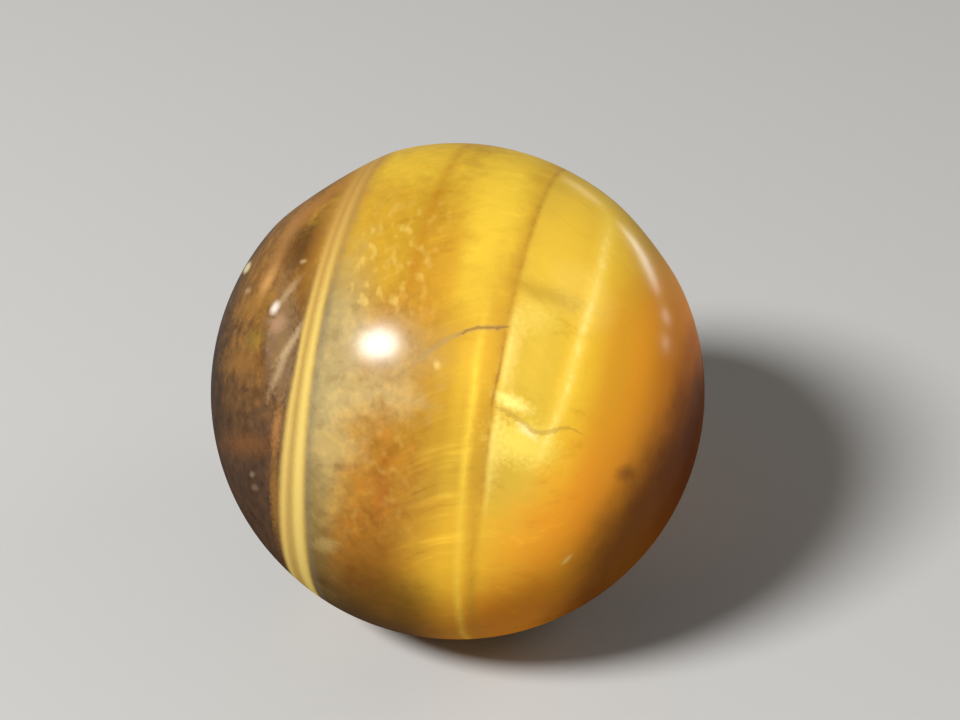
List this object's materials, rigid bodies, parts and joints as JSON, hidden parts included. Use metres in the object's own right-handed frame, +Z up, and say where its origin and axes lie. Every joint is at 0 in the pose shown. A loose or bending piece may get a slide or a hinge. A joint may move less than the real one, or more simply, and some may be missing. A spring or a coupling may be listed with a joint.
{
  "type": "polished tiger's eye stone",
  "caption": "Near-spherical polished tiger's eye: golden chatoyant side, pale double stripe, glassy brown side with a shallow chip, resting on a small flat foot.",
  "frame": {"origin": "centre of the flat foot that the stone rests on", "axes": "+Z up from the foot; the golden side faces -Y and the glassy brown side faces -X"},
  "size_m": [0.025, 0.025, 0.0243],
  "materials": {
    "stone": "polished"
  },
  "bodies": {
    "root": {"stone": "stone"}
  },
  "joints": []
}
